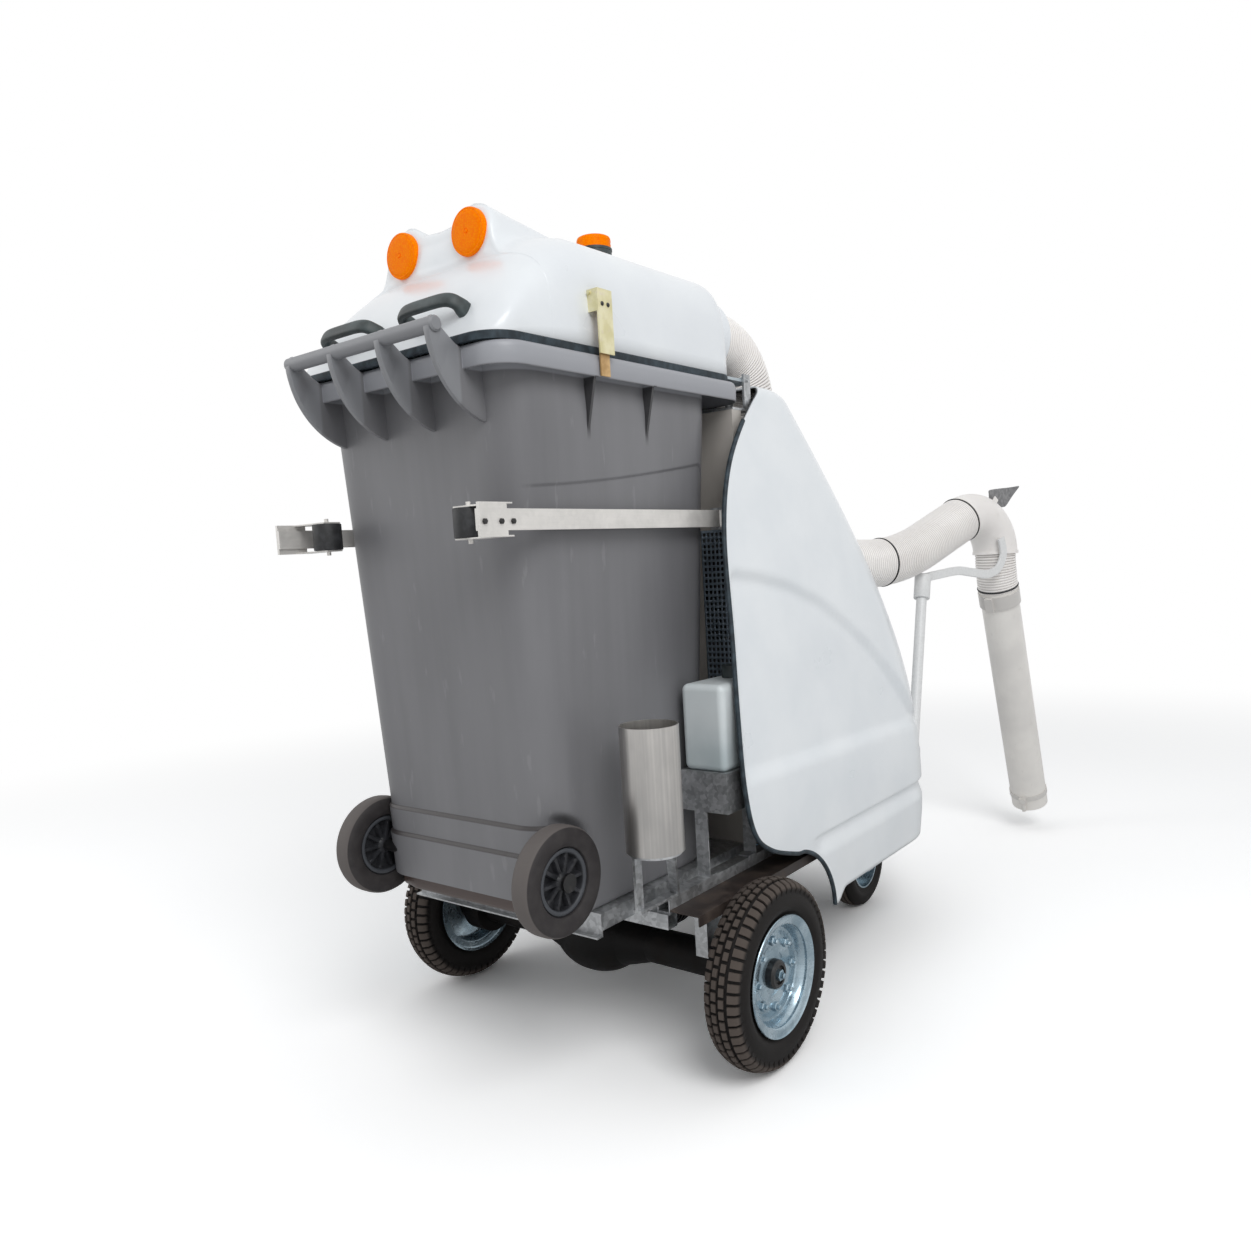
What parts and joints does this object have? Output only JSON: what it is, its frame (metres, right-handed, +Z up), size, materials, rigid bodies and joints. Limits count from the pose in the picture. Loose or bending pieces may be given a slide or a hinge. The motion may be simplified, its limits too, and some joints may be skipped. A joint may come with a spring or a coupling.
{
  "type": "walk-behind litter vacuum",
  "caption": "Self-propelled walk-behind litter vacuum: wheeled bin on a frame with drive wheels and casters, hinged hood, moulded cover, suction hose and hand wand.",
  "frame": {"origin": "on the ground, in the middle of the overall length and width", "axes": "+Y forward from the bin's handle to the wand, +X to the machine's right, +Z up"},
  "size_m": [0.962, 2.4934, 1.737],
  "materials": {
    "tyre_rubber": "matte",
    "zinc_steel": "galvanised",
    "black_casting": "satin paint",
    "grey_paint": "satin",
    "screen_paint": "satin",
    "guard_plastic": "matte",
    "battery_case": "matte",
    "bare_aluminium": "brushed",
    "hose_plastic": "satin",
    "white_shell": "gloss",
    "black_rubber": "matte",
    "bin_plastic": "satin",
    "amber_plastic": "gloss",
    "dark_plastic": "matte",
    "yellow_zinc": "passivated",
    "tank_plastic": "translucent",
    "white_paint": "gloss",
    "wand_plastic": "satin",
    "lever_plastic": "matte"
  },
  "bodies": {
    "chassis": {"frame_rails": "zinc_steel", "frame_cross_members": "zinc_steel", "bin_platform": "zinc_steel", "bulkhead": "grey_paint", "vent_screen": "screen_paint", "transaxle": "black_casting", "drive_motor": "black_casting", "battery_pack": "battery_case", "control_unit": "bare_aluminium", "blower_housing": "bare_aluminium", "blower_motor": "black_casting", "suction_duct": "hose_plastic", "cover_shell": "white_shell", "cover_trim": "black_rubber", "bulkhead_brackets": "zinc_steel", "water_tank": "tank_plastic", "tank_tray": "zinc_steel", "tool_tube": "bare_aluminium", "tool_bracket": "zinc_steel", "splash_guards": "guard_plastic", "bin_body": "bin_plastic", "bin_axle": "zinc_steel", "support_rod": "white_paint", "front_hose": "hose_plastic", "top_hose": "hose_plastic"},
    "impeller": {"blower_impeller": "bare_aluminium"},
    "filler_cap": {"tank_cap": "dark_plastic"},
    "hood": {"hood_shell": "white_shell", "hood_seal": "black_rubber", "reflectors": "amber_plastic", "beacon_base": "dark_plastic", "beacon_lens": "amber_plastic", "pull_handles": "dark_plastic", "hood_hardware": "yellow_zinc"},
    "wand": {"wand_carrier": "white_paint", "hose_elbow": "wand_plastic", "wand_cuff": "hose_plastic", "wand_tube": "wand_plastic", "spray_nozzle": "wand_plastic"},
    "control_lever": {"drive_lever": "lever_plastic"},
    "bin_wheel_left": {"bin_wheel_left": "black_rubber"},
    "rear_wheel_left": {"rear_tyre_left": "tyre_rubber", "rear_rim_left": "zinc_steel"},
    "caster_left": {"caster_fork_left": "zinc_steel"},
    "front_wheel_left": {"front_tyre_left": "tyre_rubber", "front_rim_left": "zinc_steel"},
    "latch_lever_left": {"latch_lever_left": "yellow_zinc"},
    "latch_strap_left": {"latch_strap_left": "yellow_zinc"},
    "arm_left": {"retaining_arm_left": "zinc_steel"},
    "roller_left": {"arm_roller_left": "black_rubber"},
    "bin_wheel_right": {"bin_wheel_right": "black_rubber"},
    "rear_wheel_right": {"rear_tyre_right": "tyre_rubber", "rear_rim_right": "zinc_steel"},
    "caster_right": {"caster_fork_right": "zinc_steel"},
    "front_wheel_right": {"front_tyre_right": "tyre_rubber", "front_rim_right": "zinc_steel"},
    "latch_lever_right": {"latch_lever_right": "yellow_zinc"},
    "latch_strap_right": {"latch_strap_right": "yellow_zinc"},
    "arm_right": {"retaining_arm_right": "zinc_steel"},
    "roller_right": {"arm_roller_right": "black_rubber"}
  },
  "joints": [
    {"name": "impeller_spin", "type": "hinge", "parent": "chassis", "child": "impeller", "pos_m": [0.08, -0.26475, 0.985], "axis": [0, 1, 0], "continuous": true},
    {"name": "filler_cap_turn", "type": "hinge", "parent": "chassis", "child": "filler_cap", "pos_m": [0.315, -0.58475, 0.767], "axis": [0, 0, 1], "range_deg": [0, 120]},
    {"name": "hood_hinge", "type": "hinge", "parent": "chassis", "child": "hood", "pos_m": [0, -0.41775, 1.402], "axis": [-1, 0, 0], "range_deg": [0, 60], "deforming": ["top_hose"]},
    {"name": "wand_swing", "type": "hinge", "parent": "chassis", "child": "wand", "pos_m": [0.33, 0.32025, 0.44], "axis": [-0.0632, 0.3688, 0.9273], "range_deg": [-20, 20], "deforming": ["front_hose"]},
    {"name": "control_lever_squeeze", "type": "hinge", "parent": "wand", "child": "control_lever", "pos_m": [0.39374, 0.86782, 1.14604], "axis": [0.9587, -0.2844, 0], "range_deg": [0, 20], "stiffness_Nm_per_rad": 0.6, "springref_deg": -5.73},
    {"name": "bin_wheel_spin_left", "type": "hinge", "parent": "chassis", "child": "bin_wheel_left", "pos_m": [-0.25, -1.08975, 0.466], "axis": [1, 0, 0], "continuous": true},
    {"name": "rear_wheel_spin_left", "type": "hinge", "parent": "chassis", "child": "rear_wheel_left", "pos_m": [-0.438, -0.69975, 0.19], "axis": [1, 0, 0], "continuous": true},
    {"name": "caster_swivel_left", "type": "hinge", "parent": "chassis", "child": "caster_left", "pos_m": [-0.197, 0.16025, 0.334], "axis": [0, 0, 1], "continuous": true},
    {"name": "front_wheel_spin_left", "type": "hinge", "parent": "caster_left", "child": "front_wheel_left", "pos_m": [-0.197, 0.20525, 0.125], "axis": [1, 0, 0], "continuous": true},
    {"name": "latch_lever_left", "type": "hinge", "parent": "hood", "child": "latch_lever_left", "pos_m": [-0.284, -0.92475, 1.497], "axis": [0, 1, 0], "range_deg": [0, 100]},
    {"name": "latch_strap_left", "type": "hinge", "parent": "latch_lever_left", "child": "latch_strap_left", "pos_m": [-0.2945, -0.92475, 1.47], "axis": [0, 1, 0], "range_deg": [-100, 0]},
    {"name": "arm_swing_left", "type": "hinge", "parent": "chassis", "child": "arm_left", "pos_m": [-0.27872, -0.54475, 1.101], "axis": [0, 0, -1], "range_deg": [0, 12], "stiffness_Nm_per_rad": 20, "springref_deg": -5.73},
    {"name": "roller_spin_left", "type": "hinge", "parent": "arm_left", "child": "roller_left", "pos_m": [-0.199, -1.18891, 1.101], "axis": [0, 0, 1], "continuous": true},
    {"name": "bin_wheel_spin_right", "type": "hinge", "parent": "chassis", "child": "bin_wheel_right", "pos_m": [0.25, -1.08975, 0.466], "axis": [1, 0, 0], "continuous": true},
    {"name": "rear_wheel_spin_right", "type": "hinge", "parent": "chassis", "child": "rear_wheel_right", "pos_m": [0.438, -0.69975, 0.19], "axis": [1, 0, 0], "continuous": true},
    {"name": "caster_swivel_right", "type": "hinge", "parent": "chassis", "child": "caster_right", "pos_m": [0.197, 0.16025, 0.334], "axis": [0, 0, 1], "continuous": true},
    {"name": "front_wheel_spin_right", "type": "hinge", "parent": "caster_right", "child": "front_wheel_right", "pos_m": [0.197, 0.20525, 0.125], "axis": [1, 0, 0], "continuous": true},
    {"name": "latch_lever_right", "type": "hinge", "parent": "hood", "child": "latch_lever_right", "pos_m": [0.284, -0.92475, 1.497], "axis": [0, -1, 0], "range_deg": [0, 100]},
    {"name": "latch_strap_right", "type": "hinge", "parent": "latch_lever_right", "child": "latch_strap_right", "pos_m": [0.2945, -0.92475, 1.47], "axis": [0, -1, 0], "range_deg": [-100, 0]},
    {"name": "arm_swing_right", "type": "hinge", "parent": "chassis", "child": "arm_right", "pos_m": [0.27872, -0.54475, 1.101], "axis": [0, 0, 1], "range_deg": [0, 12], "stiffness_Nm_per_rad": 20, "springref_deg": -5.73},
    {"name": "roller_spin_right", "type": "hinge", "parent": "arm_right", "child": "roller_right", "pos_m": [0.199, -1.18891, 1.101], "axis": [0, 0, 1], "continuous": true}
  ],
  "couplings": [
    {"joint": "latch_strap_left", "follows": "latch_lever_left", "ratio": -1},
    {"joint": "latch_strap_right", "follows": "latch_lever_right", "ratio": -1}
  ]
}
